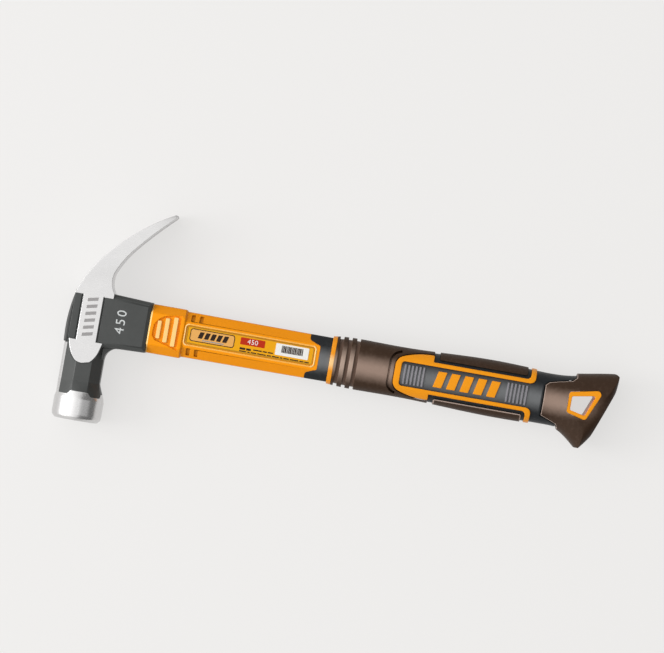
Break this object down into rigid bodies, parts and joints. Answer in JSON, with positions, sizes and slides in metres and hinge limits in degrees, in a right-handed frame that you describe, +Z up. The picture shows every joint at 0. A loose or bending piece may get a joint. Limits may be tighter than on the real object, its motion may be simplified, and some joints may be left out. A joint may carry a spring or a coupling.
{
  "type": "claw hammer",
  "caption": "Curved-claw hammer with a forged steel head on a fibreglass core, a yellow moulded shank and a soft brown grip with a hang hole.",
  "frame": {"origin": "bottom centre of the whole hammer as it lies on its side", "axes": "+X from the head to the butt along the handle, +Y from the striking face to the claw tips, +Z up through the hammer's thickness"},
  "size_m": [0.3317, 0.1314, 0.03],
  "materials": {
    "head_steel": "satin polished steel with dark grey painted cheeks and neck",
    "cap_black": "matt black moulded plastic",
    "resin": "clear amber cast epoxy",
    "fibreglass": "pultruded fibreglass",
    "yellow_plastic": "smooth moulded polypropylene, satin gloss",
    "label": "printed film label",
    "sticker": "matt white sticker",
    "black_plastic": "fine-textured hard plastic",
    "trim_yellow": "smooth moulded plastic",
    "brown_rubber": "soft matt thermoplastic rubber"
  },
  "bodies": {
    "root": {"hammer_head": "head_steel", "eye_cap": "cap_black", "eye_resin": "resin", "fibreglass_core": "fibreglass", "shank_sleeve": "yellow_plastic", "sleeve_label_front": "label", "sleeve_label_back": "label", "barcode_sticker": "sticker", "shank_band": "black_plastic", "accent_ring": "trim_yellow", "grip_front": "brown_rubber", "grip_body": "black_plastic", "trim_frame": "trim_yellow", "emblem_bars_front": "trim_yellow", "emblem_bars_back": "trim_yellow", "grip_pad_claw_side": "brown_rubber", "grip_pad_face_side": "brown_rubber", "grip_butt": "brown_rubber", "hang_hole_liner": "trim_yellow"}
  },
  "joints": []
}
